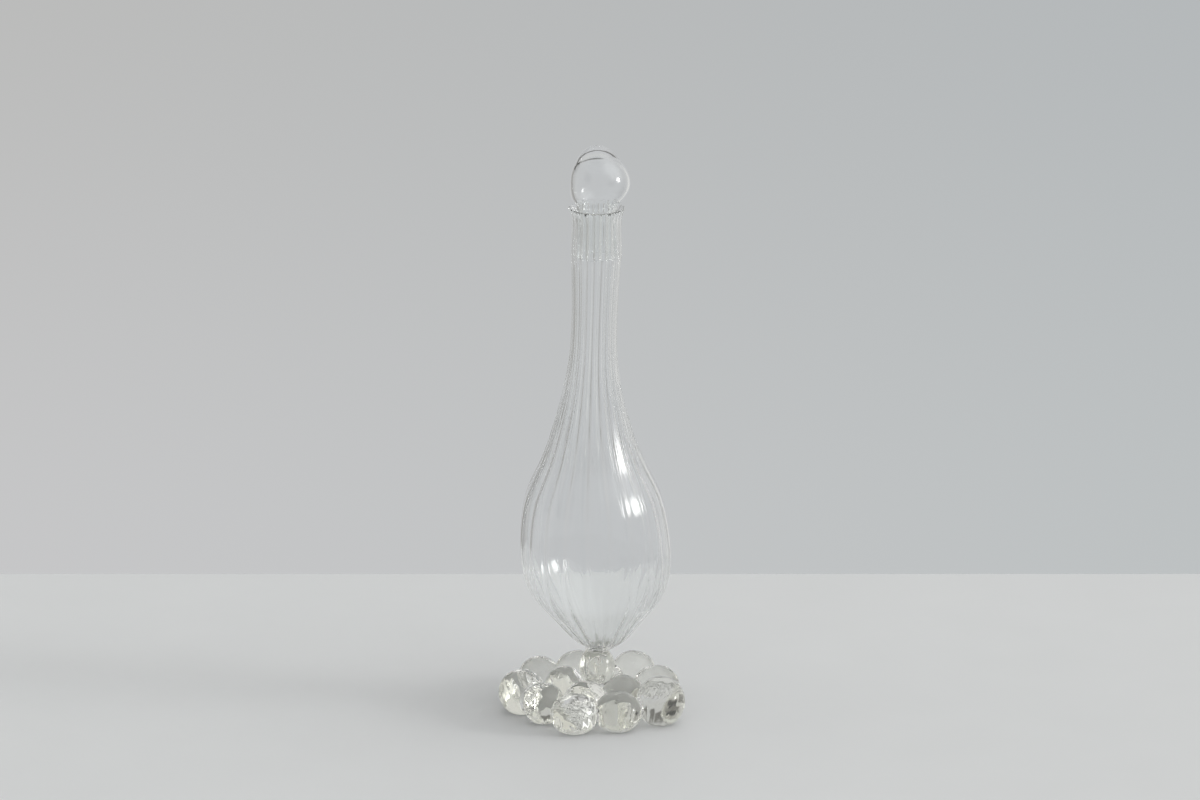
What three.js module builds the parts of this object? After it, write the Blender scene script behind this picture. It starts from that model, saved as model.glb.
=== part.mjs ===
// Glass carafe: a ribbed, blown vessel on a knop and a base of fused pebbles, closed by a blown ball stopper.
// Millimetres, +Z up. The origin is where the upright axis meets the table, and the front faces -Y.
import * as THREE from "three";

// Seams between fused or seated pieces
const SEAM = 0.3; // left between two pieces of glass that touch

// Vessel: heights are above its own foot
const FOOT_RADIUS = 6.4;
const BELLY_HEIGHT = 59;
const BELLY_RADIUS = 44.2;
const WAIST_HEIGHT = 198;
const WAIST_RADIUS = 13;
const LIP_HEIGHT = 267;
const LIP_RADIUS = 15.7;
const WALL = 1.6;
const FLOOR_THICKNESS = 3.2; // glass under the wine, over the foot
const SWAY = 2.7; // sideways bow of the hand-drawn axis, towards -X
const FOOT_OFFSET = 2.4; // the bowl's foot stands this far off the stem, towards +X
const FOOT_OFFSET_FADE = 8; // exponent with which that offset dies away up the vessel

// Optic ribs, which run the whole height of the vessel, and flutes of the plug
const RIB_COUNT = 20;
const RIB_PHASE_DEGREES = 11; // bearing of the first rib, from the front towards +X
const RIB_OUTSIDE = 0.35; // height at the waist; ribs are lower where the glass is blown wider
const RIB_INSIDE = 0.3;
const RIB_SHARPNESS = 2;
const LIP_SCALLOP = 0.5; // each rib pushes the lip out by this much
const PLUG_FLUTE = 0.5; // depth

// Knop and collar, the solid stem between vessel and base
const KNOP_RADIUS = 10.7;
const KNOP_HEIGHT = 21.7;
const KNOP_SEAT_RADIUS = 6; // flat at each end of the knop
const COLLAR_RADIUS = 6.8;
const COLLAR_THICKNESS = 0.9;

// Stopper
const PLUG_LENGTH = 29.6; // below the lip
const PLUG_WALL = 1.6;
const PLUG_BEAD = 2.6; // thickness of the rounded bead at the plug's open end
const STOPPER_WAIST = 12; // radius where the ball runs into the plug
const BALL_RADIUS = 17.4;
const BALL_LIFT = 14.3; // ball centre above the lip
const BALL_WALL = 1.3;
const BALL_LEAN = 2.1; // the ball stands this far off the plug's axis, towards +X
const CROWN_HEIGHT = 4.7; // lump of glass over the ball where the bubble was sealed
const CROWN_SPREAD_DEGREES = 34;
const CROWN_LEAN = 1.9; // the lump leans back by this much, towards -X

// Pebbles of the base
const PEBBLE_WIDTH = 26;
const PEBBLE_HEIGHT = 25;
const CENTRE_PEBBLE_WIDTH = 19;
const CENTRE_PEBBLE_HEIGHT = 13.5;
const FOOT_FLAT = 2.5; // slumped away under each pebble where it lay on the bench
const FUSE_REACH = 6.5; // lumps that lie this close are drawn together
const FUSE_SOFTNESS = 24; // exponent of the rounded edge round each flat where two pebbles fuse

// Look of the bare glass
const GLASS_ROUGHNESS = 0.03;
const GLASS_OPACITY = 0.35;

// Number of facets
const RIB_COLUMNS = 3;
const FLUTE_COLUMNS = 2;
const SMOOTH_COLUMNS = 28;
const OUTLINE_STEPS = 28;
const FLOOR_STEPS = 3;
const PLUG_STEPS = 5;
const BALL_STEPS = 8;
const EDGE_STEPS = 4;
const BORE_SAMPLES = 200;
const KNOP_STEPS = 8;
const PEBBLE_COLUMNS = 16;
const PEBBLE_ROWS = 10;

// Outline of the vessel between its main rings: share of the height, share of the change of radius
const BOWL_SHAPE = [[0.1, 0.23], [0.2, 0.38], [0.345, 0.565], [0.545, 0.82], [0.735, 0.945]];
const SHOULDER_SHAPE = [[0.137, 0.96], [0.266, 0.83], [0.397, 0.555], [0.576, 0.275], [0.797, 0.055]];
const NECK_SHAPE = [[0.35, 0.18], [0.52, 0.41], [0.64, 0.6], [0.77, 0.46], [0.88, 0.35], [0.955, 0.52]];

// Pebbles: degrees round from the front towards +X, reach from the axis and width in pebble widths,
// depth as a share of the width, height in pebble heights, and the turn of the long side in degrees
const PEBBLES = [
  { name: "front_left", bearing: -17.5, reach: 1.65, width: 1.1, depth: 0.94, height: 0.9, turn: 10 },
  { name: "front_right", bearing: 18.5, reach: 1.5, width: 1.1, depth: 0.95, height: 0.9, turn: -8 },
  { name: "right_front", bearing: 54.7, reach: 1.76, width: 1.13, depth: 0.98, height: 1.12, turn: 40 },
  { name: "right", bearing: 91.6, reach: 1.35, width: 1.09, depth: 0.98, height: 1, turn: 0 },
  { name: "back_right", bearing: 139.3, reach: 1.27, width: 1.08, depth: 0.96, height: 1.02, turn: 30 },
  { name: "back", bearing: 170.3, reach: 1.37, width: 0.84, depth: 0.95, height: 0.68, turn: -15 },
  { name: "back_left", bearing: -156.9, reach: 1.13, width: 1.09, depth: 0.95, height: 1, turn: 20 },
  { name: "left_back", bearing: -114.3, reach: 1.45, width: 1.05, depth: 0.95, height: 1.02, turn: 60 },
  { name: "left", bearing: -79.7, reach: 1.72, width: 1.1, depth: 0.95, height: 1.03, turn: -35 },
  { name: "left_front", bearing: -52.5, reach: 1.5, width: 0.98, depth: 1, height: 0.92, turn: 0 },
  { name: "inner_front", bearing: -19.1, reach: 0.81, width: 1.04, depth: 0.95, height: 0.9, turn: 25 },
  { name: "inner_right", bearing: 56.2, reach: 0.68, width: 1.03, depth: 0.95, height: 0.92, turn: -20 },
  { name: "inner_back", bearing: 161, reach: 0.59, width: 0.86, depth: 1, height: 0.8, turn: 0 },
  { name: "inner_left", bearing: -93, reach: 0.73, width: 1.02, depth: 0.95, height: 0.98, turn: 70 },
];

// Heights of the stack, from the table up
const KNOP_FOOT = CENTRE_PEBBLE_HEIGHT + SEAM;
const KNOP_MIDDLE = KNOP_FOOT + KNOP_HEIGHT / 2;
const COLLAR_FOOT = KNOP_FOOT + KNOP_HEIGHT + SEAM;
const VESSEL_FOOT = COLLAR_FOOT + COLLAR_THICKNESS + SEAM;
const LIP = VESSEL_FOOT + LIP_HEIGHT;
const BALL_CENTRE = LIP + BALL_LIFT;
const RIB_PHASE = THREE.MathUtils.degToRad(RIB_PHASE_DEGREES);

function glass(color) {
  const look = { roughness: GLASS_ROUGHNESS, metalness: 0, transparent: true, opacity: GLASS_OPACITY };
  return new THREE.MeshStandardMaterial({ color, ...look });
}

// Height of a rib across its pitch, from 0 in the hollow to 1 on the crest.
function ridge(angle) {
  return (0.5 + 0.5 * Math.cos(RIB_COUNT * (angle - RIB_PHASE))) ** RIB_SHARPNESS;
}

// Sideways place of the vessel's axis: off the stem at the foot, bowed most halfway, back in line at the lip.
function sway(z) {
  const share = THREE.MathUtils.clamp((z - VESSEL_FOOT) / LIP_HEIGHT, 0, 1);
  return FOOT_OFFSET * (1 - share) ** FOOT_OFFSET_FADE - SWAY * Math.sin(Math.PI * share) ** 2;
}

// A turned solid. Each ring of the outline is { r, z, rib }, with rib the crest's height out from r,
// and shift(z) moves a ring sideways. The outline runs from axis to axis.
function turned(outline, columns, shift = () => 0) {
  const section = outline.map(({ r, z }) => new THREE.Vector2(r, z));
  const solid = new THREE.LatheGeometry(section, columns, RIB_PHASE);
  const place = solid.attributes.position;
  for (let i = 0; i < place.count; i++) {
    const { r, z, rib = 0 } = outline[i % outline.length];
    const angle = RIB_PHASE + (2 * Math.PI * Math.floor(i / outline.length)) / columns;
    const reach = r + rib * ridge(angle);
    place.setXYZ(i, reach * Math.sin(angle) + shift(z), -reach * Math.cos(angle), z);
  }
  return solid;
}

// Rings along an arc of an ellipse about (r, z), from one angle to the other. 0 points out and 90 up.
function arc(r, z, across, up, from, to, steps) {
  return Array.from({ length: steps + 1 }, (_, i) => {
    const angle = THREE.MathUtils.degToRad(from + ((to - from) * i) / steps);
    return { r: r + across * Math.cos(angle), z: z + up * Math.sin(angle) };
  });
}

// The vessel's outside outline, as one smooth curve through its main rings.
function vesselCurve() {
  const between = (low, high, shape) =>
    shape.map(([rise, change]) => {
      const step = high.clone().sub(low).multiply(new THREE.Vector2(change, rise));
      return step.add(low);
    });
  const foot = new THREE.Vector2(FOOT_RADIUS, VESSEL_FOOT);
  const belly = new THREE.Vector2(BELLY_RADIUS, VESSEL_FOOT + BELLY_HEIGHT);
  const waist = new THREE.Vector2(WAIST_RADIUS, VESSEL_FOOT + WAIST_HEIGHT);
  const lip = new THREE.Vector2(LIP_RADIUS, LIP - WALL / 2);
  const shoulder = SHOULDER_SHAPE.map(([rise, fall]) => [rise, 1 - fall]);
  return new THREE.SplineCurve([
    foot, ...between(foot, belly, BOWL_SHAPE),
    belly, ...between(belly, waist, shoulder),
    waist, ...between(waist, lip, NECK_SHAPE), lip,
  ]);
}

// The vessel's outside at a share of its outline, and the point one wall inside it.
function vesselSkin(curve, share) {
  const out = curve.getPoint(share);
  const along = curve.getTangent(share);
  return { out, inside: out.clone().add(new THREE.Vector2(-along.y, along.x).multiplyScalar(WALL)) };
}

// A rib's height where the glass has been blown to a radius, from its height at the waist.
function drawnRib(height, radius) {
  return height * Math.sqrt(WAIST_RADIUS / radius);
}

function vessel() {
  const curve = vesselCurve();
  const skin = Array.from({ length: OUTLINE_STEPS + 1 }, (_, i) => vesselSkin(curve, i / OUTLINE_STEPS));
  const floor = VESSEL_FOOT + FLOOR_THICKNESS;
  const outside = skin.map(({ out }) => ({ r: out.x, z: out.y, rib: drawnRib(RIB_OUTSIDE, out.x) }));
  const inside = skin
    .map(({ inside: { x, y } }) => ({ r: x, z: y, rib: -drawnRib(RIB_INSIDE, x) }))
    .filter(({ z }) => z > floor + WALL)
    .reverse();
  const brim = { r: LIP_RADIUS - WALL / 2, z: LIP };
  for (const ring of [outside.at(-1), brim, inside[0]]) ring.rib = LIP_SCALLOP;
  const corner = inside.at(-1);
  const bottom = arc(0, corner.z, corner.r, corner.z - floor, 0, -90, FLOOR_STEPS).slice(1);
  bottom.at(-1).r = 0;
  const outline = [{ r: 0, z: VESSEL_FOOT }, ...outside, brim, ...inside, ...bottom];
  return turned(outline, RIB_COUNT * RIB_COLUMNS, sway);
}

// Rings of the plug, top to tip: it fits the narrowest bore that it has to be drawn up through.
function plugRings() {
  const curve = vesselCurve();
  const neck = Array.from({ length: BORE_SAMPLES + 1 }, (_, i) => vesselSkin(curve, i / BORE_SAMPLES).inside);
  const bore = neck.map(({ x, y }) => ({ r: x - drawnRib(RIB_INSIDE, x), z: y }));
  const tip = LIP - PLUG_LENGTH + PLUG_BEAD / 2;
  const top = LIP - WALL;
  return Array.from({ length: PLUG_STEPS + 1 }, (_, i) => {
    const z = top + ((tip - top) * i) / PLUG_STEPS;
    const passed = bore.filter((ring) => ring.z >= z - WALL).map(({ r }) => r);
    return { r: Math.min(...passed) - SEAM, z };
  });
}

// Angle below the equator where a ball has narrowed to a radius, in degrees.
function narrowed(ball, radius) {
  return -THREE.MathUtils.radToDeg(Math.acos(radius / ball));
}

// A ring of the ball's outside, raised over the top by the lump that sealed it.
function crowned({ r, z }) {
  const fromTop = THREE.MathUtils.radToDeg(Math.atan2(r, z));
  const radius = BALL_RADIUS + CROWN_HEIGHT * Math.exp(-((fromTop / CROWN_SPREAD_DEGREES) ** 2));
  return { r: radius * r, z: BALL_CENTRE + radius * z };
}

function stopper() {
  const plug = plugRings();
  const tip = plug.pop();
  const bead = PLUG_BEAD / 2;
  const hollow = BALL_RADIUS - BALL_WALL;
  const top = BALL_CENTRE + BALL_RADIUS + CROWN_HEIGHT;
  const outline = [
    ...arc(0, BALL_CENTRE, hollow, hollow, 90, narrowed(hollow, STOPPER_WAIST - PLUG_WALL), BALL_STEPS),
    ...plug.map(({ r, z }) => ({ r: r - PLUG_WALL, z })),
    ...arc(tip.r - bead, tip.z, bead, bead, -180, 0, EDGE_STEPS),
    ...plug.reverse().map((ring) => ({ ...ring, rib: -PLUG_FLUTE })),
    ...arc(0, 0, 1, 1, narrowed(BALL_RADIUS, STOPPER_WAIST), 90, BALL_STEPS).map(crowned),
  ];
  outline[0].r = 0;
  outline.at(-1).r = 0;
  const lean = (z) =>
    sway(z) +
    BALL_LEAN * THREE.MathUtils.smoothstep(z, LIP, BALL_CENTRE) -
    CROWN_LEAN * THREE.MathUtils.smoothstep(z, BALL_CENTRE, top);
  return turned(outline, RIB_COUNT * FLUTE_COLUMNS, lean);
}

// The knop's rings, foot to top: a bead with a flat at each end.
function knopOutline() {
  const open = THREE.MathUtils.radToDeg(Math.acos(KNOP_SEAT_RADIUS / KNOP_RADIUS));
  const tall = KNOP_HEIGHT / 2 / Math.sin(THREE.MathUtils.degToRad(open));
  const side = arc(0, KNOP_MIDDLE, KNOP_RADIUS, tall, -open, open, KNOP_STEPS);
  return [{ r: 0, z: KNOP_FOOT }, ...side, { r: 0, z: KNOP_FOOT + KNOP_HEIGHT }];
}

function knop() {
  return turned(knopOutline(), SMOOTH_COLUMNS);
}

function collar() {
  const half = COLLAR_THICKNESS / 2;
  const edge = arc(COLLAR_RADIUS - half, COLLAR_FOOT + half, half, half, -90, 90, EDGE_STEPS);
  const outline = [{ r: 0, z: COLLAR_FOOT }, ...edge, { r: 0, z: COLLAR_FOOT + COLLAR_THICKNESS }];
  return turned(outline, SMOOTH_COLUMNS);
}

// A pebble before it fuses: an ellipsoid whose underside, sunk by FOOT_FLAT, the table cuts flat.
function lump({ name, bearing, reach, width, depth, height, turn }) {
  const angle = THREE.MathUtils.degToRad(bearing);
  const half = (height + FOOT_FLAT) / 2;
  return {
    name,
    centre: new THREE.Vector3(reach * Math.sin(angle), -reach * Math.cos(angle), height - half),
    radii: new THREE.Vector3(width / 2, depth / 2, half),
    turn: THREE.MathUtils.degToRad(turn),
    contacts: [],
  };
}

// How far out of an ellipsoid's surface a unit direction points: 1 over its radius that way.
function gauge({ radii, turn }, direction) {
  return direction.clone().applyAxisAngle(new THREE.Vector3(0, 0, 1), -turn).divide(radii).length();
}

// The flat where two lumps fuse stands across the line of their centres, shared by their radii along it.
function fuse(one, other) {
  const line = other.centre.clone().sub(one.centre);
  const apart = line.length();
  const towards = line.divideScalar(apart);
  const back = towards.clone().negate();
  const oneRadius = 1 / gauge(one, towards);
  const otherRadius = 1 / gauge(other, back);
  if (oneRadius + otherRadius + FUSE_REACH < apart) return;
  const flat = (apart * oneRadius) / (oneRadius + otherRadius);
  one.contacts.push({ towards, reach: flat - SEAM / 2 });
  other.contacts.push({ towards: back, reach: apart - flat - SEAM / 2 });
}

// The knop keeps its round, and a lump that meets it is flattened at a plane that touches it.
function seatKnop(one) {
  const line = new THREE.Vector3(0, 0, KNOP_MIDDLE).sub(one.centre);
  const apart = line.length();
  const towards = line.divideScalar(apart);
  const out = Math.hypot(towards.x, towards.y);
  const knopReach = knopOutline().map(({ r, z }) => r * out - (z - KNOP_MIDDLE) * towards.z);
  one.contacts.push({ towards, reach: apart - Math.max(...knopReach) - SEAM });
}

// A fused pebble. Its radius in each direction is the soft least of the ellipsoid's and of its flats',
// down to the table.
function pebble(one) {
  const solid = new THREE.SphereGeometry(1, PEBBLE_COLUMNS, PEBBLE_ROWS).rotateX(Math.PI / 2);
  const place = solid.attributes.position;
  const direction = new THREE.Vector3();
  for (let i = 0; i < place.count; i++) {
    direction.fromBufferAttribute(place, i).normalize();
    const flats = one.contacts.map(({ towards, reach }) => Math.max(0, direction.dot(towards)) / reach);
    const sum = [gauge(one, direction), ...flats].reduce((total, share) => total + share ** FUSE_SOFTNESS, 0);
    const radius = sum ** (-1 / FUSE_SOFTNESS);
    const toTable = direction.z < 0 ? -one.centre.z / direction.z : Infinity;
    const point = one.centre.clone().addScaledVector(direction, Math.min(radius, toTable));
    place.setXYZ(i, point.x, point.y, toTable <= radius ? 0 : point.z);
  }
  return solid;
}

function pebbles() {
  const ring = PEBBLES.map((row) => {
    const width = row.width * PEBBLE_WIDTH;
    const height = row.height * PEBBLE_HEIGHT;
    return lump({ ...row, reach: row.reach * PEBBLE_WIDTH, width, depth: row.depth * width, height });
  });
  const size = CENTRE_PEBBLE_WIDTH;
  const centre = { name: "centre", bearing: 0, reach: 0, width: size, depth: size, turn: 0 };
  const lumps = [...ring, lump({ ...centre, height: CENTRE_PEBBLE_HEIGHT })];
  lumps.forEach((one, i) => lumps.slice(i + 1).forEach((other) => fuse(one, other)));
  lumps.forEach(seatKnop);
  return lumps;
}

function named(name, geometry, color) {
  const mesh = new THREE.Mesh(geometry, glass(color));
  mesh.name = name;
  return mesh;
}

const carafe = new THREE.Group();
carafe.add(named("vessel", vessel(), 0xe6ecec));
carafe.add(named("stopper", stopper(), 0xe6ecea));
carafe.add(named("collar", collar(), 0xdfe6df));
carafe.add(named("knop", knop(), 0xdfe6df));
for (const one of pebbles()) carafe.add(named(`pebble_${one.name}`, pebble(one), 0xdde4dd));

export default carafe;
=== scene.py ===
"""Looks of the glass carafe: ribbed vessel, stopper, stem and fused pebbles, and a plain studio stage."""
import math

import bpy
import numpy as np
from bpy.props import FloatProperty, FloatVectorProperty, IntProperty, PointerProperty
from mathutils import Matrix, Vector


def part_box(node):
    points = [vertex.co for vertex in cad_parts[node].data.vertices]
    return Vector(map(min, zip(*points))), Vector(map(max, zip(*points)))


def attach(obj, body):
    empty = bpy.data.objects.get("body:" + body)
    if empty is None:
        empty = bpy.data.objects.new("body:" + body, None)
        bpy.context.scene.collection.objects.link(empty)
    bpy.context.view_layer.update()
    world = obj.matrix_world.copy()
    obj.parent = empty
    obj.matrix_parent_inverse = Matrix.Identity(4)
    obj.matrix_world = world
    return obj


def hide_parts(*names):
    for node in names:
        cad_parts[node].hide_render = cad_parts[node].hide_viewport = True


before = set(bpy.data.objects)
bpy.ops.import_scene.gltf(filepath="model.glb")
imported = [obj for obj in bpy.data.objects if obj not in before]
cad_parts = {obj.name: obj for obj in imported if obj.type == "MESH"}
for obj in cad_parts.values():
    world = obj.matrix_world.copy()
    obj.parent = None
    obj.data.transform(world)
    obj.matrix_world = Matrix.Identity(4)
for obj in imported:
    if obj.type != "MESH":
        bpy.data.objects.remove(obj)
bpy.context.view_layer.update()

bl_info = {
    "name": "Glass Carafe",
    "version": (1, 0, 0),
    "blender": (4, 5, 0),
    "location": "View3D > Sidebar > Carafe",
    "description": "Builds the looks of a ribbed glass carafe around its CAD frame",
    "category": "Object",
}

MM = 0.001

# Lengths in millimetres
SKIN = 0.01  # depth within which a point lies on a flat
LIP_DEPTH = 14.0  # of the flare under the rim
FAN_RADIUS = 0.3  # of a flat's smallest ring, which a fan closes
VESSEL_FAN_RADIUS = 0.4
SMEAR_PITCH = 9  # of faint smears on the glass
MOTTLE_PITCH = 60  # of brush marks on the table

# Points along each outline, and round it
SPLINE_FINENESS = 40
FOOT_ROWS, VESSEL_ROWS, RIM_ROWS, FLOOR_ROWS, VESSEL_RIB_COLUMNS = 6, 128, 9, 20, 16
BORE_ROWS = 400
PLUG_ROWS, BEAD_ROWS, BALL_ROWS, HOLLOW_ROWS = 40, 15, 90, 60
STOPPER_ROWS, PLUG_FLUTE_COLUMNS = 300, 10
FLAT_ROWS, COLLAR_ROWS, KNOP_ROWS, STEM_COLUMNS = 8, 25, 80, 128
PEBBLE_ROWS, PEBBLE_COLUMNS = 96, 144

POLE = 89  # degrees up to where the ball's outline ends by its axis
BLUR = 11  # points over which the stopper's outline is smoothed
CREST_PITCH = 0.4  # spacing of the columns on a rib's crest as a share of the mean
NEIGHBOUR_REACH = 0.25  # gap in pebble widths across which pebbles still fuse
WINDING_FALL = 0.4  # slope of the winding's axis
SEAM_EDGE = 0.05  # half width of the seam's edge, in its mark
SMEAR_SPAN = (0.45, 0.75)  # noise over which a smear fades in
# How the two waves of a pebble shift with its place, in radians for each millimetre
WAVE_PHASES = np.array([(0.31, 0.17), (0.23, 0.41), (0.0, 0.0)])

# Outline of the vessel between its main rings: share of the height, share of the change of radius
BOWL_SHAPE = ((0.1, 0.23), (0.2, 0.38), (0.345, 0.565), (0.545, 0.82), (0.735, 0.945))
SHOULDER_SHAPE = ((0.137, 0.04), (0.266, 0.17), (0.397, 0.445), (0.576, 0.725), (0.797, 0.945))
NECK_SHAPE = ((0.35, 0.18), (0.52, 0.41), (0.64, 0.6), (0.77, 0.46), (0.88, 0.35), (0.955, 0.52))

# Ribs of the vessel: share of its height, height of a rib outside the wall in millimetres, and width of
# a rib at half its height as a share of the pitch. Pleats under the bowl, low fine ribs on the belly,
# flutes on the shoulder.
RIB_SHAPE = ((0.0, 0.45, 0.35), (0.07, 0.45, 0.35), (0.22, 0.2, 0.15), (0.4, 0.5, 0.26), (0.55, 0.55, 0.26),
             (0.74, 0.32, 0.2), (0.87, 0.32, 0.2), (0.91, 0.32, 0.3), (1.0, 0.3, 0.3))

# Pebbles: degrees round from the front towards +X, reach from the axis and width in pebble widths,
# depth as a share of the width, height in pebble heights, and the turn of the long side in degrees
PEBBLES = {
    "pebble_front_left": (-17.5, 1.65, 1.1, 0.94, 0.9, 10),
    "pebble_front_right": (18.5, 1.5, 1.1, 0.95, 0.9, -8),
    "pebble_right_front": (54.7, 1.76, 1.13, 0.98, 1.12, 40),
    "pebble_right": (91.6, 1.35, 1.09, 0.98, 1, 0),
    "pebble_back_right": (139.3, 1.27, 1.08, 0.96, 1.02, 30),
    "pebble_back": (170.3, 1.37, 0.84, 0.95, 0.68, -15),
    "pebble_back_left": (-156.9, 1.13, 1.09, 0.95, 1, 20),
    "pebble_left_back": (-114.3, 1.45, 1.05, 0.95, 1.02, 60),
    "pebble_left": (-79.7, 1.72, 1.1, 0.95, 1.03, -35),
    "pebble_left_front": (-52.5, 1.5, 0.98, 1, 0.92, 0),
    "pebble_inner_front": (-19.1, 0.81, 1.04, 0.95, 0.9, 25),
    "pebble_inner_right": (56.2, 0.68, 1.03, 0.95, 0.92, -20),
    "pebble_inner_back": (161, 0.59, 0.86, 1, 0.8, 0),
    "pebble_inner_left": (-93, 0.73, 1.02, 0.95, 0.98, 70),
    "pebble_centre": (0, 0, 0.73, 1, 0.54, 0),
}


def linear(code):
    """Scene-linear colour of an sRGB hex code."""
    values = [int(code[i:i + 2], 16) / 255 for i in (1, 3, 5)]
    return tuple(v / 12.92 if v <= 0.04045 else ((v + 0.055) / 1.055) ** 2.4 for v in values) + (1.0,)


def millimetres(name, default, description):
    """A size in millimetres, the unit in which Blender gives camera lengths."""
    return FloatProperty(name=name, description=description, default=default, unit="CAMERA")


def fraction(name, default, description):
    """A share from 0 to 1."""
    return FloatProperty(name=name, description=description, default=default, min=0.0, max=1.0, precision=3,
                         subtype="FACTOR")


def plain_number(name, default, description):
    """A plain number."""
    return FloatProperty(name=name, description=description, default=default)


def angle_degrees(name, default, description):
    """An angle given in degrees."""
    return FloatProperty(name=name, description=description, default=math.radians(default), subtype="ANGLE")


def hex_colour(name, code, description):
    """A colour given by its sRGB hex code."""
    return FloatVectorProperty(name=name, description=description, size=4, min=0.0, max=1.0,
                               default=linear(code), subtype="COLOR")


class CarafeVessel(bpy.types.PropertyGroup):
    """Sizes of the blown vessel, in millimetres."""
    foot_radius: millimetres("Foot radius", 6.4, "Radius of the flat foot on the collar")
    belly_share: fraction("Belly height", 0.221, "Height of the belly as a share of the vessel's")
    waist_share: fraction("Waist height", 0.7416, "Height of the narrowest neck as a share of the vessel's")
    waist_radius: millimetres("Waist radius", 13.0, "Outside radius of the neck where it is narrowest")
    lip_radius: millimetres("Lip radius", 15.7, "Outside radius of the flared lip")
    wall: millimetres("Wall", 1.6, "Thickness of the blown wall between the ribs")
    floor: millimetres("Floor", 3.2, "Thickness of the glass under the wine")
    sway: millimetres("Sway", 2.7, "Sideways bow of the hand-drawn axis")
    foot_offset: millimetres("Foot offset", 2.4, "How far the bowl's foot stands off the stem")
    foot_fade: plain_number("Foot fade", 8.0, "Exponent with which the foot's offset dies away upwards")
    rib_count: IntProperty(name="Ribs", description="Number of optic ribs", default=20)
    rib_phase: angle_degrees("Rib phase", 11, "Bearing of the first rib from the front")
    rib_inside: fraction("Rib inside", 0.8, "Height of a rib inside the wall as a share of outside")
    rib_clear: millimetres("Rib clearance", 0.3, "Height of the tallest rib in the bore that the plug clears")
    belly_rib: millimetres("Belly rib", 0.2, "Height of a rib where the belly is widest")
    lip_thinning: fraction("Lip thinning", 0.45, "Share of the wall drawn off at the rim")
    scallop: millimetres("Lip scallop", 0.45, "How far each rib pushes the lip outwards")


class CarafeStopper(bpy.types.PropertyGroup):
    """Sizes of the stopper, in millimetres."""
    ball_lift: millimetres("Ball lift", 14.3, "Height of the ball's centre above the lip")
    ball_wall: millimetres("Ball wall", 1.3, "Thickness of the ball at its equator")
    plug_wall: millimetres("Plug wall", 1.6, "Thickness of the plug tube")
    flute: millimetres("Flute", 0.9, "Depth of a flute of the plug")
    bead: millimetres("Bead", 2.6, "Thickness of the rounded bead at the plug's open end")
    waist: millimetres("Waist", 12.0, "Radius where the ball runs into the plug")
    lean: millimetres("Lean", 2.1, "How far the ball stands off the plug's axis")
    crown_spread: angle_degrees("Crown spread", 34, "Angle over which the sealed crown thins out")
    crown_hollow: fraction("Crown hollow", 0.3, "How far the hollow follows the crown, as a share")
    crown_lean: millimetres("Crown lean", 1.9, "How far the sealed crown leans back")
    seam: millimetres("Seam", 0.3, "Space between the plug and the ribs of the neck")


class CarafeBase(bpy.types.PropertyGroup):
    """Sizes of the knop and of the pebbles, in millimetres."""
    knop_seat: millimetres("Knop seat", 6.0, "Radius of the flat at each end of the knop")
    pebble_width: millimetres("Pebble width", 26.0, "Width of a mean pebble")
    pebble_height: millimetres("Pebble height", 25.0, "Height of a mean pebble")
    foot_flat: millimetres("Foot flat", 2.5, "Glass slumped away under each pebble")
    seam: millimetres("Seam", 0.3, "Space between two fused pebbles")
    softness: plain_number("Softness", 24.0, "Exponent of the rounded edge of each flat")
    foot_edge: plain_number("Foot edge", 70.0, "Exponent of the edge round each pebble's foot")
    wave: fraction("Wave", 0.012, "Unevenness of a pebble as a share of its radius")
    seam_blend: fraction("Seam blend", 0.05, "Reach of the seam's soft edge as a share of the radius")
    ring_depth: fraction("Ring depth", 0.005, "Depth of the winding rings as a share of the radius")
    ring_count: plain_number("Rings", 20.0, "Winding rings right round a pebble")


class CarafeGlass(bpy.types.PropertyGroup):
    """Colours of the glass."""
    blown: hex_colour("Blown glass", "#fdfefe", "Tint of the vessel and the stopper")
    bead: hex_colour("Bead", "#fbfbf7", "Tint of the collar and the knop")
    pebble: hex_colour("Pebbles", "#fbfbf7", "Tint of the pebbles and their seams")


class CarafeStage(bpy.types.PropertyGroup):
    """Camera and table."""
    aim: FloatVectorProperty(name="Aim", description="Point that the camera looks at", size=3,
                             default=(0.00186, 0.0, 0.1889), subtype="TRANSLATION")
    distance: FloatProperty(name="Distance", description="Camera to aim", default=2.6, unit="LENGTH")
    pitch: angle_degrees("Pitch", 16.5, "How far the camera looks down")
    lens: millimetres("Lens", 134.5, "Focal length")
    table_back: FloatProperty(name="Table back", description="Table edge behind the axis", default=0.244,
                              unit="LENGTH")
    table_reach: FloatProperty(name="Table reach", description="Table edge to each side and in front",
                               default=0.4, unit="LENGTH")
    table_drop: millimetres("Table drop", 0.2, "How far the table lies under the pebbles' feet")
    table_colour: hex_colour("Table", "#e4e5e6", "Colour of the table top")
    mottle_colour: hex_colour("Mottle", "#e8e9ea", "Colour of the brush marks on the table top")


def settings(name):
    """The settings group of that name."""
    return getattr(bpy.context.scene, name)


# Shapes

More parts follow.
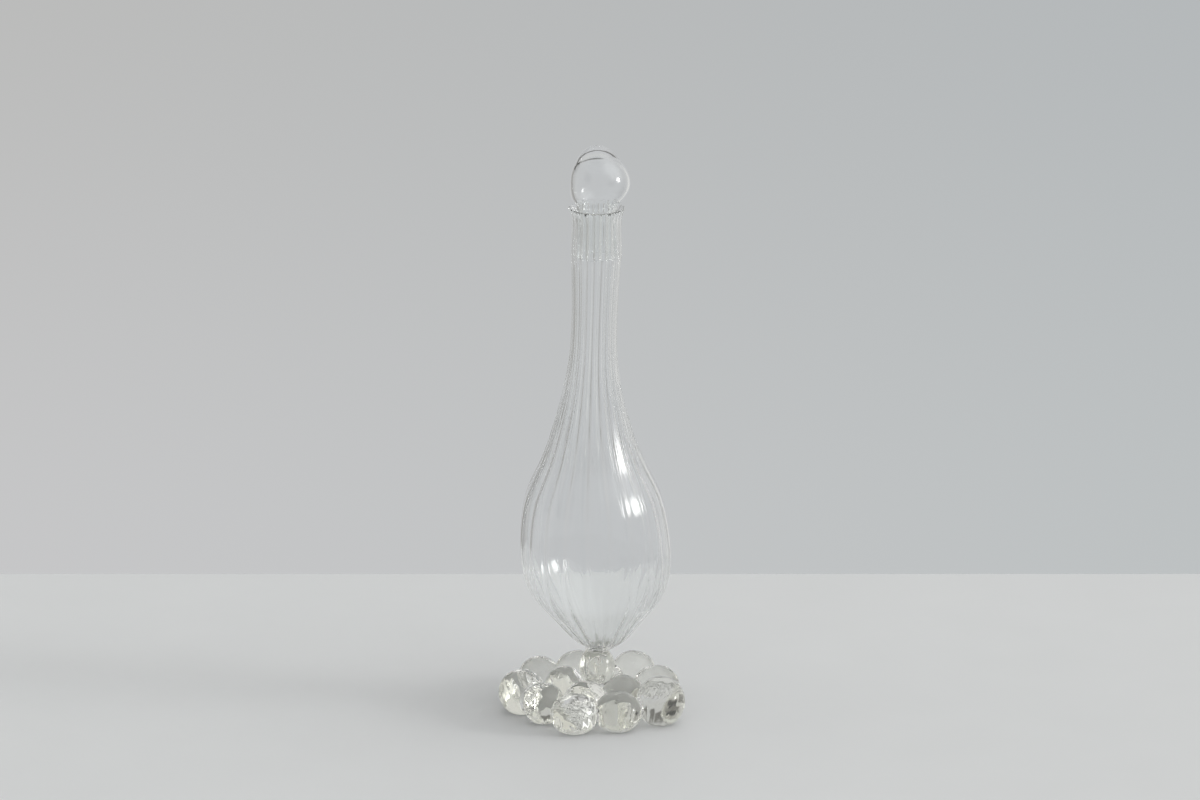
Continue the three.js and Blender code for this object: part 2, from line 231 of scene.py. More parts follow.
def smooth_curve(points, count):
    """A natural cubic spline through the points, by chord length, as count points equally spaced along it."""
    points = np.asarray(points, float)
    knots = np.concatenate(([0.0], np.cumsum(np.linalg.norm(np.diff(points, axis=0), axis=1))))
    gaps = np.diff(knots)[:, None]
    slopes = np.diff(points, axis=0) / gaps
    size = len(points)
    matrix = np.eye(size)
    inner = np.arange(1, size - 1)
    matrix[inner, inner - 1] = gaps[:-1, 0]
    matrix[inner, inner] = 2 * (gaps[:-1, 0] + gaps[1:, 0])
    matrix[inner, inner + 1] = gaps[1:, 0]
    right = np.zeros_like(points)
    right[1:-1] = 6 * (slopes[1:] - slopes[:-1])
    bend = np.linalg.solve(matrix, right)
    fine = np.linspace(0, knots[-1], SPLINE_FINENESS * count)
    part = np.clip(np.searchsorted(knots, fine, side="right") - 1, 0, size - 2)
    a = ((knots[part + 1] - fine) / gaps[part, 0])[:, None]
    b = 1 - a
    square = gaps[part] ** 2 / 6
    curve = a * points[part] + b * points[part + 1]
    curve += ((a ** 3 - a) * bend[part] + (b ** 3 - b) * bend[part + 1]) * square
    return even(curve, count)


def even(curve, count):
    """The same line as count points equally spaced along it."""
    run = np.concatenate(([0.0], np.cumsum(np.linalg.norm(np.diff(curve, axis=0), axis=1))))
    at = np.linspace(0, run[-1], count)
    return np.stack([np.interp(at, run, curve[:, axis]) for axis in (0, 1)], axis=1)


def inward(curve):
    """Unit normals of an outline that runs upwards, pointing to the axis."""
    along = np.gradient(curve, axis=0)
    along /= np.linalg.norm(along, axis=1, keepdims=True)
    return np.stack([-along[:, 1], along[:, 0]], axis=1)


def arc(centre, radii, start, end, count):
    """Points of an ellipse about centre from one angle in degrees to the other; 0 points out and 90 up."""
    angle = np.radians(np.linspace(start, end, count))
    return np.stack([centre[0] + radii[0] * np.cos(angle), centre[1] + radii[1] * np.sin(angle)], axis=1)


def line(start, end, count):
    """Points of a straight line, both ends included."""
    return np.linspace(start, end, count)


def ridge(angle, vessel, width):
    """Height of a rib on each ring, 0 in the hollow and 1 on the crest: a raised cosine to the power that
    makes it as wide at half height as the given shares of the pitch."""
    power = np.log(0.5) / np.log(np.cos(width * math.pi / 2) ** 2)
    return (0.5 + 0.5 * np.cos(vessel.rib_count * (angle - vessel.rib_phase))) ** power[:, None]


def around(columns):
    """Equally spaced bearings from the front towards +X."""
    return np.arange(columns) * (2 * math.pi / columns)


def rib_bearings(vessel, columns):
    """Bearings of columns for each rib, closest together on its crest."""
    share = np.arange(columns) / columns - 0.5
    share *= CREST_PITCH + 4 * (1 - CREST_PITCH) * share ** 2
    pitch = 2 * math.pi / vessel.rib_count
    return vessel.rib_phase + pitch * (np.arange(vessel.rib_count)[:, None] + share).ravel()


def turned(outline, lift, angle, shift=None):
    """Rings of an outline of radius and height turned to each angle about the axis. lift is added to the
    radius, row by column, and shift moves each row sideways. All in millimetres."""
    reach = outline[:, :1] + lift
    side = np.zeros(len(outline)) if shift is None else shift
    x = reach * np.sin(angle) + side[:, None]
    y = -reach * np.cos(angle)
    z = np.broadcast_to(outline[:, 1:], x.shape)
    return np.stack([x, y, z], axis=2)


def surface(name, rings, material, body, nodes, fused=None):
    """A closed surface of rows by columns of points in millimetres. Columns close round, and the first and
    last rows are each closed by a fan to their middle. It stands for the CAD nodes and rides on the body.
    fused is over a half where the piece is melted into the next one, so that the glass shows no face."""
    rows, columns = rings.shape[:2]
    points = np.concatenate([rings.reshape(-1, 3), rings[:1].mean(axis=1), rings[-1:].mean(axis=1)]) * MM
    index = np.arange(rows * columns).reshape(rows, columns)
    after = np.roll(index, -1, axis=1)
    quads = np.stack([index[:-1], after[:-1], after[1:], index[1:]], axis=2).reshape(-1, 4)
    first, last = rows * columns, rows * columns + 1
    start = np.stack([np.full(columns, first), after[0], index[0]], axis=1)
    end = np.stack([np.full(columns, last), index[-1], after[-1]], axis=1)
    fans = np.concatenate([start, end])
    if volume(points, quads, fans) < 0:
        quads = quads[:, ::-1]
        fans = fans[:, ::-1]
    corners = np.concatenate([quads.ravel(), fans.ravel()])
    starts = np.concatenate([np.arange(len(quads)) * 4, quads.size + np.arange(len(fans)) * 3])
    mesh = bpy.data.meshes.new(name)
    mesh.vertices.add(len(points))
    mesh.vertices.foreach_set("co", points.ravel())
    mesh.loops.add(len(corners))
    mesh.loops.foreach_set("vertex_index", corners.astype(np.int32))
    mesh.polygons.add(len(starts))
    mesh.polygons.foreach_set("loop_start", starts.astype(np.int32))
    mesh.polygons.foreach_set("use_smooth", np.ones(len(starts), dtype=bool))
    mesh.materials.append(material)
    if fused is not None:
        melted = np.broadcast_to(np.asarray(fused, dtype=np.float32), (rows, columns))
        melted = np.concatenate([melted.ravel(), melted[[0, -1]].mean(axis=1)])
        mesh.attributes.new("fused", "FLOAT", "POINT").data.foreach_set("value", melted)
        seam = np.concatenate([(melted[quads] > 0).any(axis=1), (melted[fans] > 0).any(axis=1)])
        mesh.materials.append(fused_seam())
        mesh.polygons.foreach_set("material_index", seam.astype(np.int32))
    mesh.update(calc_edges=True)
    if mesh.validate():
        raise RuntimeError(f"{name} has a broken face")
    piece = bpy.data.objects.new(name, mesh)
    bpy.context.scene.collection.objects.link(piece)
    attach(piece, body)
    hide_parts(*nodes)


def volume(points, quads, fans):
    """Six times the volume inside the faces, above 0 if they face outwards."""
    triangles = np.concatenate([quads[:, [0, 1, 2]], quads[:, [0, 2, 3]], fans])
    a, b, c = (points[triangles[:, corner]] for corner in range(3))
    return float(np.einsum("ij,ij->i", a, np.cross(b, c)).sum())


def box_mm(node_name):
    """Lowest and highest corner of a CAD node, in millimetres."""
    low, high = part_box(node_name)
    return np.array(low) / MM, np.array(high) / MM


def vessel_outline(vessel):
    """The outside of the vessel, foot to lip, as radius and height."""
    low, high = box_mm("vessel")
    tall = high[2] - low[2]
    belly_radius = (high[1] - low[1]) / 2 - vessel.belly_rib
    foot = np.array([vessel.foot_radius, low[2]])
    belly = np.array([belly_radius, low[2] + vessel.belly_share * tall])
    waist = np.array([vessel.waist_radius, low[2] + vessel.waist_share * tall])
    lip = np.array([vessel.lip_radius, high[2] - vessel.wall / 2])
    rings = [foot]
    for start, end, shape in ((foot, belly, BOWL_SHAPE), (belly, waist, SHOULDER_SHAPE),
                              (waist, lip, NECK_SHAPE)):
        rings += [start + (end - start) * (change, rise) for rise, change in shape] + [end]
    return rings


def vessel_sway(vessel, z):
    """Sideways place of the vessel's axis: off the stem at the foot, bowed most halfway, in line at the
    lip."""
    low, high = box_mm("vessel")
    share = np.clip((z - low[2]) / (high[2] - low[2]), 0, 1)
    return vessel.foot_offset * (1 - share) ** vessel.foot_fade - vessel.sway * np.sin(math.pi * share) ** 2


def ribs(outline):
    """Height of a rib outside the wall, and its width, on each ring of the vessel."""
    low, high = box_mm("vessel")
    share = (outline[:, 1] - low[2]) / (high[2] - low[2])
    at, height, width = zip(*RIB_SHAPE)
    return np.interp(share, at, height), np.interp(share, at, width)


def plug_radius(vessel, stopper, height):
    """The narrowest bore over each height, which the plug has to be drawn up through, less the seam."""
    outside = smooth_curve(vessel_outline(vessel), BORE_ROWS)
    bore = outside + inward(outside) * vessel.wall
    narrowest = np.minimum.accumulate(bore[::-1, 0])[::-1]
    return np.interp(height - vessel.wall, bore[:, 1], narrowest) - vessel.rib_clear - stopper.seam


# Materials

def add(tree, kind, inputs=None, **options):
    """A new node with its options set, and each input given a constant or another node's output."""
    made = tree.nodes.new(kind)
    for key, value in options.items():
        setattr(made, key, value)
    for socket, value in (inputs or {}).items():
        if isinstance(value, bpy.types.NodeSocket):
            tree.links.new(value, made.inputs[socket])
        else:
            made.inputs[socket].default_value = value
    return made


def new_material(name):
    """An empty node material of that name, and its tree."""
    material = bpy.data.materials.new(name)
    material.use_nodes = True
    material.node_tree.nodes.clear()
    return material, material.node_tree


def glass(name, colour, ior, cord_mm, stretch, depth_mm, haze, fused=False):
    """Clear glass with cords: faint waves of cord_mm pitch and depth_mm depth, stretched along the height.
    Fused glass has no surface where the mesh is marked as melted into the next piece."""
    found = bpy.data.materials.get(name)
    if found:
        return found
    material, tree = new_material(name)
    place = add(tree, "ShaderNodeTexCoord").outputs["Object"]
    drawn = add(tree, "ShaderNodeMapping", {"Vector": place, "Scale": (1.0, 1.0, stretch)}).outputs["Vector"]
    cords = add(tree, "ShaderNodeTexNoise", {"Vector": drawn, "Scale": 1 / (cord_mm * MM), "Detail": 2.0})
    bump = add(tree, "ShaderNodeBump", {
        "Height": cords.outputs["Fac"], "Distance": depth_mm * MM, "Strength": 1.0})
    smears = add(tree, "ShaderNodeTexNoise", {
        "Vector": place, "Scale": 1 / (SMEAR_PITCH * MM), "Detail": 4.0})
    rough = add(tree, "ShaderNodeMapRange", {
        "Value": smears.outputs["Fac"], "From Min": SMEAR_SPAN[0], "From Max": SMEAR_SPAN[1],
        "To Min": 0.0, "To Max": haze})
    shader = add(tree, "ShaderNodeBsdfPrincipled", {
        "Base Color": colour, "Roughness": rough.outputs["Result"], "IOR": ior,
        "Transmission Weight": 1.0, "Normal": bump.outputs["Normal"]})
    if fused:
        melted = add(tree, "ShaderNodeAttribute", attribute_name="fused").outputs["Fac"]
        skin = add(tree, "ShaderNodeMapRange", {
            "Value": melted, "From Min": 0.5 - SEAM_EDGE, "From Max": 0.5 + SEAM_EDGE,
            "To Min": 1.0, "To Max": 0.0})
        tree.links.new(skin.outputs["Result"], shader.inputs["Alpha"])
    add(tree, "ShaderNodeOutputMaterial", {"Surface": shader.outputs["BSDF"]})
    return material


def blown_glass():
    """Thin lamp-blown borosilicate: almost colourless, with long faint cords from the drawing of the tube."""
    return glass("Borosilicate glass, lamp-blown", settings("carafe_glass").blown,
                 ior=1.473, cord_mm=9, stretch=0.1, depth_mm=0.004, haze=0.006)


def solid_glass():
    """Solid bead worked in the flame: a trace of cream in its depth."""
    return glass("Borosilicate glass, flame-worked bead", settings("carafe_glass").bead,
                 ior=1.473, cord_mm=6, stretch=0.3, depth_mm=0.06, haze=0.008)


PEBBLE_SKIN = {"ior": 1.51, "cord_mm": 8, "stretch": 1.0, "depth_mm": 0.12, "haze": 0.01}


def pebble_glass():
    """Fire-polished pebbles fused together: soft waves in the skin and a trace of cream."""
    return glass("Glass pebble, fire-polished and fused", settings("carafe_glass").pebble, **PEBBLE_SKIN)


def fused_seam():
    """Faces where two pieces have melted together: clear, up to a narrow edge like the pebbles' skin."""
    return glass("Glass, fused seam", settings("carafe_glass").pebble, **PEBBLE_SKIN, fused=True)


def table_paint():
    """Matt off-white table top, with a barely seen mottle from the brush."""
    material, tree = new_material("Table top, matt paint")
    place = add(tree, "ShaderNodeTexCoord").outputs["Object"]
    mottle = add(tree, "ShaderNodeTexNoise", {
        "Vector": place, "Scale": 1 / (MOTTLE_PITCH * MM), "Detail": 3.0})
    stage = settings("carafe_stage")
    tone = add(tree, "ShaderNodeMix", {
        "Factor": mottle.outputs["Fac"], "A": stage.table_colour, "B": stage.mottle_colour}, data_type="RGBA")
    shader = add(tree, "ShaderNodeBsdfPrincipled", {"Base Color": tone.outputs["Result"], "Roughness": 0.55})
    add(tree, "ShaderNodeOutputMaterial", {"Surface": shader.outputs["BSDF"]})
    return material


# Pieces

def lip_share(outline, lip):
    """How far each ring belongs to the lip: 0 below the flare, rising to 1 at the rim."""
    return np.clip((outline[:, 1] - lip + LIP_DEPTH) / LIP_DEPTH, 0, 1) ** 2


class CARAFE_OT_vessel(bpy.types.Operator):
    """Builds the vessel: an outline turned about a bowed axis, with ribs on both sides of the wall"""
    bl_idname = "carafe.vessel"
    bl_label = "Vessel"

    def execute(self, context):
        vessel = settings("carafe_vessel")
        low, high = box_mm("vessel")
        outside = smooth_curve(vessel_outline(vessel), VESSEL_ROWS)
        foot = line((VESSEL_FAN_RADIUS, low[2]), (outside[0, 0] - VESSEL_FAN_RADIUS, low[2]), FOOT_ROWS)
        thin = 1 - vessel.lip_thinning * lip_share(outside, high[2])[:, None]
        inside = (outside + inward(outside) * vessel.wall * thin)[::-1]
        floor = low[2] + vessel.floor
        inside = inside[inside[:, 1] > floor + 2 * vessel.wall]
        across = outside[-1] - inside[0]
        brim = np.linalg.norm(across) / 2
        tilt = math.degrees(math.atan2(across[1], across[0]))
        rim = arc((outside[-1] + inside[0]) / 2, (brim, brim), tilt, tilt + 180, RIM_ROWS)[1:-1]
        corner = inside[-1]
        fall = corner - inside[-2]
        turn = corner + fall * (floor - corner[1]) / fall[1]
        share = np.linspace(0, 1, FLOOR_ROWS)[1:-1, None]
        bottom = (1 - share) ** 2 * corner + 2 * share * (1 - share) * turn + share ** 2 * (0, floor)
        outline = np.concatenate([foot, outside, rim, inside, bottom])
        count = np.cumsum([len(foot), len(outside), len(rim), len(inside)])
        side = np.zeros(len(outline))
        side[count[0]:count[1]] = ribs(outside)[0]
        side[count[2]:count[3]] = -vessel.rib_inside * ribs(inside)[0]
        side[count[1]:count[2]] = np.linspace(side[count[1] - 1], side[count[2]], len(rim) + 2)[1:-1]
        side[count[3]:] = np.linspace(side[count[3] - 1], 0, len(bottom))
        angle = rib_bearings(vessel, VESSEL_RIB_COLUMNS)
        rib = ridge(angle, vessel, ribs(outline)[1])
        lift = (side + vessel.scallop * lip_share(outline, high[2]))[:, None] * rib
        rings = turned(outline, lift, angle, vessel_sway(vessel, outline[:, 1]))
        fused = (np.arange(len(outline)) < count[0])[:, None]
        surface("blown_vessel", rings, blown_glass(), "carafe", ["vessel"], fused)
        return {"FINISHED"}


def ease(share):
    """A share from 0 to 1, made level at both ends."""
    return share ** 2 * (3 - 2 * share)


def bulb(radius, bulge, spread, start, end, count):
    """A round outline about its centre from one angle in degrees to the other. The crown adds
    bulge * exp(-(angle off the axis / spread)^2) to its radius."""
    way = arc((0, 0), (1, 1), start, end, count)
    seal = np.exp(-(np.arctan2(way[:, 0], way[:, 1]) / spread) ** 2)
    return way * (radius + bulge * seal[:, None])


class CARAFE_OT_stopper(bpy.types.Operator):
    """Builds the stopper: a ball with a thick crown that runs down into an open plug tube, turned and
    leant"""
    bl_idname = "carafe.stopper"
    bl_label = "Stopper"

    def execute(self, context):
        vessel = settings("carafe_vessel")
        stopper = settings("carafe_stopper")
        low, high = box_mm("stopper")
        lip = box_mm("vessel")[1][2]
        radius = (high[1] - low[1]) / 2
        centre = lip + stopper.ball_lift
        bead = stopper.bead / 2
        height = np.linspace(low[2] + bead, lip - vessel.wall, PLUG_ROWS)
        plug = plug_radius(vessel, stopper, height)
        tube = np.stack([plug, height], axis=1)
        hollow = radius - stopper.ball_wall
        meet = [math.degrees(math.acos(neck / size)) for neck, size in
                ((stopper.waist, radius), (stopper.waist - stopper.plug_wall, hollow))]
        crown = high[2] - centre - radius
        spread = stopper.crown_spread
        ball = bulb(radius, crown, spread, -meet[0], POLE, BALL_ROWS)
        cave = bulb(hollow, stopper.crown_hollow * crown, spread, POLE, -meet[1], HOLLOW_ROWS)
        outline = np.concatenate([
            cave + (0, centre),
            (tube - (stopper.plug_wall, 0))[:0:-1],
            arc((plug[0] - bead, height[0]), (bead, bead), -180, 0, BEAD_ROWS),
            tube[1:],
            ball + (0, centre),
        ])
        outline = even(outline, STOPPER_ROWS)
        window = np.hanning(BLUR) / np.hanning(BLUR).sum()
        pad = np.pad(outline, ((BLUR // 2, BLUR // 2), (0, 0)), mode="edge")
        outline = np.stack([np.convolve(pad[:, axis], window, "valid") for axis in (0, 1)], axis=1)
        rise = np.clip((outline[:, 1] - lip) / stopper.ball_lift, 0, 1)
        tip = np.clip((outline[:, 1] - centre) / (high[2] - centre), 0, 1)
        shift = vessel_sway(vessel, outline[:, 1]) + stopper.lean * ease(rise)
        shift -= stopper.crown_lean * ease(tip)
        angle = rib_bearings(vessel, PLUG_FLUTE_COLUMNS)
        skin = np.cumsum(np.linalg.norm(np.diff(outline, axis=0, prepend=outline[:1]), axis=1))
        tip_at = skin[np.argmin(outline[:, 1])]
        fluted = np.clip((skin - tip_at - bead) / bead, 0, 1) * np.clip((lip - outline[:, 1]) / bead, 0, 1)
        lift = -stopper.flute * fluted[:, None] * ridge(angle, vessel, ribs(outline)[1])
        rings = turned(outline, lift, angle, shift)
        surface("blown_stopper", rings, blown_glass(), "stopper", ["stopper"])
        return {"FINISHED"}


def with_flats(side, radius, bottom, top):
    """The outline of a side with the flat under it and the one on it, each out to the radius."""
    return np.concatenate([line((FAN_RADIUS, bottom), (radius, bottom), FLAT_ROWS), side,
                           line((radius, top), (FAN_RADIUS, top), FLAT_ROWS)])


def ends(outline):
    """Marks the rings on the flat at each end of an outline."""
    height = outline[:, 1]
    return ((height < height.min() + SKIN) | (height > height.max() - SKIN))[:, None]


def knop_side(base, count):
    """The knop's side about its centre, between its flats, as count points of radius and height."""
    low, high = box_mm("knop")
    radius = (high[1] - low[1]) / 2
    opening = math.acos(base.knop_seat / radius)
    tall = (high[2] - low[2]) / 2 / math.sin(opening)
    return arc((0, 0), (radius, tall), -math.degrees(opening), math.degrees(opening), count)


def stem_piece(name, outline, node):
    """A plain turned piece of the stem, fused at both ends."""
    rings = turned(outline, np.zeros((1, 1)), around(STEM_COLUMNS))
    surface(name, rings, solid_glass(), "carafe", [node], ends(outline))


class CARAFE_OT_stem(bpy.types.Operator):
    """Builds the collar, a rounded wafer, and the knop, a bead with a flat at each end"""
    bl_idname = "carafe.stem"
    bl_label = "Collar and knop"

    def execute(self, context):
        base = settings("carafe_base")
        low, high = box_mm("collar")
        half = (high[2] - low[2]) / 2
        middle = (high[1] - low[1]) / 2 - half
        edge = arc((middle, low[2] + half), (half, half), -90, 90, COLLAR_ROWS)
        stem_piece("flame_collar", with_flats(edge, middle - FAN_RADIUS, low[2], high[2]), "collar")
        low, high = box_mm("knop")
        side = knop_side(base, KNOP_ROWS) + (0, (low[2] + high[2]) / 2)
        stem_piece("flame_knop", with_flats(side, base.knop_seat - FAN_RADIUS, low[2], high[2]), "knop")
        return {"FINISHED"}


def lumps(base):
    """Centre, radii and turn of each pebble before it fuses, by name."""
    made = {}
    for name, (bearing, reach, width, depth, height, turn) in PEBBLES.items():
        angle = math.radians(bearing)
        out = reach * base.pebble_width
        across = width * base.pebble_width / 2
        tall = height * base.pebble_height
        half = (tall + base.foot_flat) / 2
        made[name] = (np.array([out * math.sin(angle), -out * math.cos(angle), tall - half]),
                      np.array([across, across * depth, half]), math.radians(turn))
    return made


def gauge(lump, direction):
    """1 over the ellipsoid's radius along each unit direction."""
    _, radii, turn = lump
    c, s = math.cos(turn), math.sin(turn)
    own = direction @ np.array([[c, -s, 0], [s, c, 0], [0, 0, 1]])
    return np.linalg.norm(own / radii, axis=-1)


def flats(name, made, base):
    """Outward normal and distance of each plane where a pebble meets its neighbours and the knop."""
    centre = made[name][0]
    found = []
    for other, lump in made.items():
        if other == name:
            continue
        apart = np.linalg.norm(lump[0] - centre)
        towards = (lump[0] - centre) / apart
        mine = 1 / gauge(made[name], towards)
        theirs = 1 / gauge(lump, -towards)
        if mine + theirs + base.pebble_width * NEIGHBOUR_REACH >= apart:
            found.append((towards, apart * mine / (mine + theirs) - base.seam / 2))
    low, high = box_mm("knop")
    offset = np.array([0, 0, (low[2] + high[2]) / 2]) - centre
    apart = np.linalg.norm(offset)
    towards = offset / apart
    reach = knop_side(base, KNOP_ROWS // 2) @ np.array([math.hypot(towards[0], towards[1]), -towards[2]])
    found.append((towards, apart - reach.max() - base.seam))
    return found


def winding(centre):
    """Unit axis that a pebble was wound about: outwards from the carafe and a little down."""
    axis = np.array([centre[0], centre[1], -WINDING_FALL * math.hypot(centre[0], centre[1]) - SKIN])
    return axis / np.linalg.norm(axis)


class CARAFE_OT_pebbles(bpy.types.Operator):
    """Builds the pebbles: in each direction the soft least of an ellipsoid's radius and of the flats'
    distance, (sum of r^-softness)^(-1/softness), less soft waves and the rings of the winding"""
    bl_idname = "carafe.pebbles"
    bl_label = "Pebbles"

    def execute(self, context):
        base = settings("carafe_base")
        made = lumps(base)
        rows, columns = PEBBLE_ROWS, PEBBLE_COLUMNS
        polar = np.linspace(0.5 / rows, 1 - 0.5 / rows, rows)[:, None] * math.pi
        angle = around(columns)
        direction = np.stack([np.sin(polar) * np.sin(angle), -np.sin(polar) * np.cos(angle),
                              np.broadcast_to(np.cos(polar), (rows, columns))], axis=2)
        for name, lump in made.items():
            own = gauge(lump, direction) ** base.softness
            joined = np.zeros_like(own)
            for towards, distance in flats(name, made, base):
                joined += (np.clip(direction @ towards, 0, None) / distance) ** base.softness
            total = own + joined
            phase = lump[0] @ WAVE_PHASES
            wave = np.sin(3 * angle + phase[0]) * np.sin(2 * polar)
            wave = wave + np.sin(2 * angle + phase[1]) * np.sin(polar)
            spin = np.arccos(direction @ winding(lump[0]))
            ring = np.sin(base.ring_count * spin + np.sin(3 * angle + phase[0]) * np.sin(polar) ** 2)
            shrink = base.wave * (1 + wave / 2) + base.ring_depth * (1 + ring) / 2
            reach = (1 - shrink) * total ** (-1 / base.softness)
            ground = np.clip(-direction[..., 2], 0, None) / lump[0][2]
            reach = (reach ** -base.foot_edge + ground ** base.foot_edge) ** (-1 / base.foot_edge)
            rings = lump[0] + direction * reach[..., None]
            margin = (joined / own) ** (1 / base.softness) - 1
            fused = np.where(rings[..., 2] > SKIN, np.clip(0.5 + margin / (2 * base.seam_blend), 0, 1), 0)
            surface("fused_" + name, rings, pebble_glass(), "carafe", [name], fused)
        return {"FINISHED"}


# Stage

def table(stage):
    """A flat table top with a straight back edge."""
    reach, back, drop = stage.table_reach, stage.table_back, -stage.table_drop * MM
    corners = [(-reach, -reach, drop), (reach, -reach, drop), (reach, back, drop), (-reach, back, drop)]
    mesh = bpy.data.meshes.new("table_top")
    mesh.from_pydata(corners, [], [(0, 1, 2, 3)])
    mesh.materials.append(table_paint())
    top = bpy.data.objects.new("table_top", mesh)
    bpy.context.scene.collection.objects.link(top)


def step(tree, value, start, end):
    """0 before start and 1 past end, smooth between; end may be under start."""
    return add(tree, "ShaderNodeMapRange", {"Value": value, "From Min": start, "From Max": end},
               interpolation_type="SMOOTHSTEP").outputs["Result"]


def product(tree, *values):
    """The values multiplied together."""
    total = values[0]
    for value in values[1:]:
        total = add(tree, "ShaderNodeMath", {0: total, 1: value}, operation="MULTIPLY").outputs["Value"]
    return total


def blend(tree, factor, start, end):
    """A colour between two, each a hex code or an output."""
    pair = [linear(colour) if isinstance(colour, str) else colour for colour in (start, end)]
    return add(tree, "ShaderNodeMix", {"Factor": factor, "A": pair[0], "B": pair[1]},
               data_type="RGBA").outputs["Result"]


# Tone of the room all round: bearing in degrees from straight behind towards +X, and colour. The left side
# is a little dusky and the right side a little bright. A strong tone here would fill the glass when it is
# seen from the other side.
ROOM = ((-180, "#b9b9b7"), (-150, "#b4b4b2"), (-120, "#a8a7a4"), (-100, "#c4c4c2"), (-80, "#c4c4c2"),
        (-65, "#9a9996"), (-30, "#9a9996"), (-18, "#c3c3c4"), (0, "#c2c3c5"), (20, "#bfc1c3"),
        (30, "#dcdcda"), (60, "#dcdcda"), (75, "#c4c4c2"), (135, "#c4c4c2"), (180, "#b9b9b7"))

# Dark parts of the room, all above the horizon, where a view from level or above doesn't look straight
# through the glass: bearing, half width, lowest and highest rise as sines, and colour
DUSK = ((-38, 0.2, 0.15, 0.5, "#0e0d0c"), (-128, 0.2, 0.15, 0.5, "#1d1c1a"),
        (-28, 0.45, 0.27, 0.34, "#6a6967"))
DUSK_MARGIN = 0.05

# Wall that the eye sees, with painted shade: lighter low down and to the left, darker high up and to the
# right, as light falls on a wall. Left and right colour, low down and high up. It changes over these sines.
LOW_WALL_SHADE, HIGH_WALL_SHADE = ("#c7c7c8", "#bdc1c2"), ("#bbbbba", "#b4b8ba")
WALL_SWEEP, WALL_RISE = (-0.2, 0.2), (-0.33, -0.17)
CEILING, CEILING_RISE = "#c9cac9", (0.45, 0.75)

# Lights to the right, above the horizon too: bearing, half width, soft margin, lowest and highest rise as
# sines, and strength
PANE, PANE_STRENGTH = (100, 0.02, 0.15, 0.25, 0.27), 38.0
GLOW, GLOW_STRENGTH = (100, 0.2, 0.45, 0.5, 0.75), 1.9
AHEAD = (0.1, 0.3)  # cosines over which a patch fades out to the side

# Bounces that light needs to find its way out of the pebbles
GLASS_BOUNCES, ALL_BOUNCES = 64, 96


def room():
    """A room by direction: a grey wall to the eye, with painted shade, lighter low down and to the left; to
    the glass also a dusky left side, a bright right side, a pale ceiling, dark parts above the horizon, and
    to the right a pane with a wide glow."""
    world = bpy.data.worlds.new("Studio room")
    bpy.context.scene.world = world
    world.use_nodes = True
    tree = world.node_tree
    tree.nodes.clear()
    way = add(tree, "ShaderNodeTexCoord").outputs["Generated"]
    axes = add(tree, "ShaderNodeSeparateXYZ", {"Vector": way})
    x, y, z = (axes.outputs[axis] for axis in "XYZ")

    def along(direction):
        return add(tree, "ShaderNodeVectorMath", {0: way, 1: direction},
                   operation="DOT_PRODUCT").outputs["Value"]

    def patch(bearing, half, soft, low, high):
        """1 within half of the bearing and between two rises, falling to 0 over the soft margin."""
        angle = math.radians(bearing)
        across = along((math.cos(angle), -math.sin(angle), 0.0))
        facing = step(tree, along((math.sin(angle), math.cos(angle), 0.0)), *AHEAD)
        return product(tree, facing, step(tree, across, -half - soft, -half),
                       step(tree, across, half + soft, half),
                       step(tree, z, low - soft, low), step(tree, z, high + soft, high))

    # Painted shade on the wall that the eye sees: lighter low down and to the left, darker high up and to the
    # right
    sweep = step(tree, x, *WALL_SWEEP)
    wall = blend(tree, step(tree, z, *WALL_RISE), blend(tree, sweep, *LOW_WALL_SHADE),
                 blend(tree, sweep, *HIGH_WALL_SHADE))
    turn = add(tree, "ShaderNodeMath", {0: x, 1: y}, operation="ARCTAN2").outputs["Value"]
    share = add(tree, "ShaderNodeMath", {0: turn, 1: 0.5 / math.pi, 2: 0.5}, operation="MULTIPLY_ADD")
    round_about = add(tree, "ShaderNodeValToRGB", {"Fac": share.outputs["Value"]})
    ramp = round_about.color_ramp.elements
    while len(ramp) < len(ROOM):
        ramp.new(0.5)
    for stop, (bearing, tone) in zip(ramp, ROOM):
        stop.position = bearing / 360 + 0.5
        stop.color = linear(tone)
    colour = blend(tree, step(tree, z, *CEILING_RISE), round_about.outputs["Color"], CEILING)
    for bearing, half, low, high, tone in DUSK:
        colour = blend(tree, patch(bearing, half, DUSK_MARGIN, low, high), colour, tone)
    strength = 1.0
    for light, power in ((GLOW, GLOW_STRENGTH), (PANE, PANE_STRENGTH)):
        strength = add(tree, "ShaderNodeMath", {0: patch(*light), 1: power, 2: strength},
                       operation="MULTIPLY_ADD").outputs["Value"]
    seen = add(tree, "ShaderNodeLightPath").outputs["Is Camera Ray"]
    plain = add(tree, "ShaderNodeBackground", {"Color": wall}).outputs["Background"]
    lit = add(tree, "ShaderNodeBackground", {"Color": colour, "Strength": strength}).outputs["Background"]
    both = add(tree, "ShaderNodeMixShader", {0: seen, 1: lit, 2: plain})
    add(tree, "ShaderNodeOutputWorld", {"Surface": both.outputs["Shader"]})


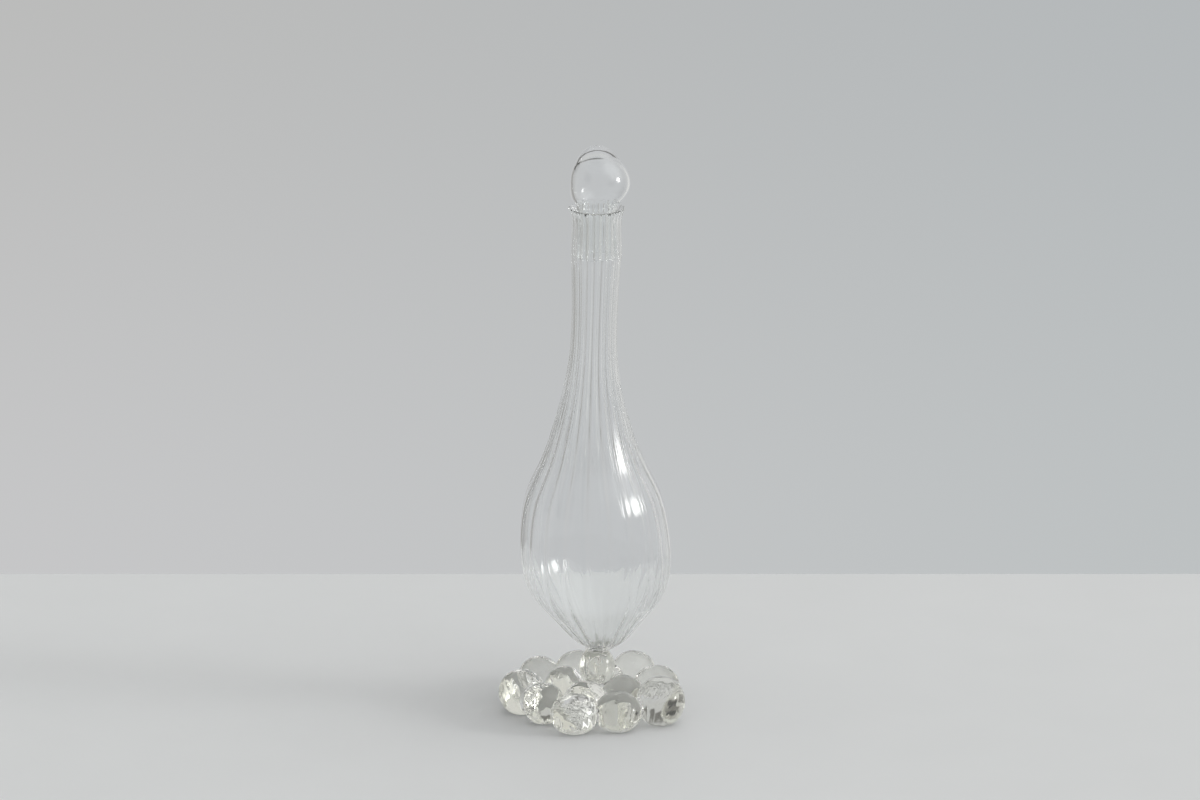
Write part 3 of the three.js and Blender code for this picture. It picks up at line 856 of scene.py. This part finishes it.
class CARAFE_OT_stage(bpy.types.Operator):
    """Sets the table, the room with its window, and the camera"""
    bl_idname = "carafe.stage"
    bl_label = "Stage"

    def execute(self, context):
        stage = settings("carafe_stage")
        table(stage)
        room()
        camera = bpy.data.cameras.new("camera")
        camera.lens = stage.lens
        camera.dof.use_dof = False
        view = bpy.data.objects.new("camera", camera)
        back = Vector((0, -math.cos(stage.pitch), math.sin(stage.pitch)))
        view.location = Vector(stage.aim) + back * stage.distance
        view.rotation_euler = (math.pi / 2 - stage.pitch, 0, 0)
        context.scene.collection.objects.link(view)
        context.scene.camera = view
        context.scene.view_settings.view_transform = "Standard"
        context.scene.cycles.max_bounces = ALL_BOUNCES
        context.scene.cycles.transmission_bounces = GLASS_BOUNCES
        context.scene.cycles.glossy_bounces = GLASS_BOUNCES
        context.scene.cycles.transparent_max_bounces = GLASS_BOUNCES
        return {"FINISHED"}


class CARAFE_PT_panel(bpy.types.Panel):
    """Buttons and sizes of the carafe"""
    bl_idname = "CARAFE_PT_panel"
    bl_label = "Glass Carafe"
    bl_space_type = "VIEW_3D"
    bl_region_type = "UI"
    bl_category = "Carafe"

    def draw(self, context):
        for operator in STEPS:
            self.layout.operator(operator.bl_idname)
        for name, group in GROUPS.items():
            box = self.layout.box()
            for key in group.__annotations__:
                box.prop(getattr(context.scene, name), key)


GROUPS = {
    "carafe_vessel": CarafeVessel,
    "carafe_stopper": CarafeStopper,
    "carafe_base": CarafeBase,
    "carafe_glass": CarafeGlass,
    "carafe_stage": CarafeStage,
}
STEPS = (CARAFE_OT_vessel, CARAFE_OT_stopper, CARAFE_OT_stem, CARAFE_OT_pebbles, CARAFE_OT_stage)
CLASSES = (*GROUPS.values(), *STEPS, CARAFE_PT_panel)


def register():
    for cls in CLASSES:
        bpy.utils.register_class(cls)
    for name, group in GROUPS.items():
        setattr(bpy.types.Scene, name, PointerProperty(type=group))


def unregister():
    for name in GROUPS:
        delattr(bpy.types.Scene, name)
    for cls in reversed(CLASSES):
        bpy.utils.unregister_class(cls)


def main():
    register()
    bpy.ops.carafe.vessel()
    bpy.ops.carafe.stopper()
    bpy.ops.carafe.stem()
    bpy.ops.carafe.pebbles()
    bpy.ops.carafe.stage()


if __name__ == "__main__":
    main()
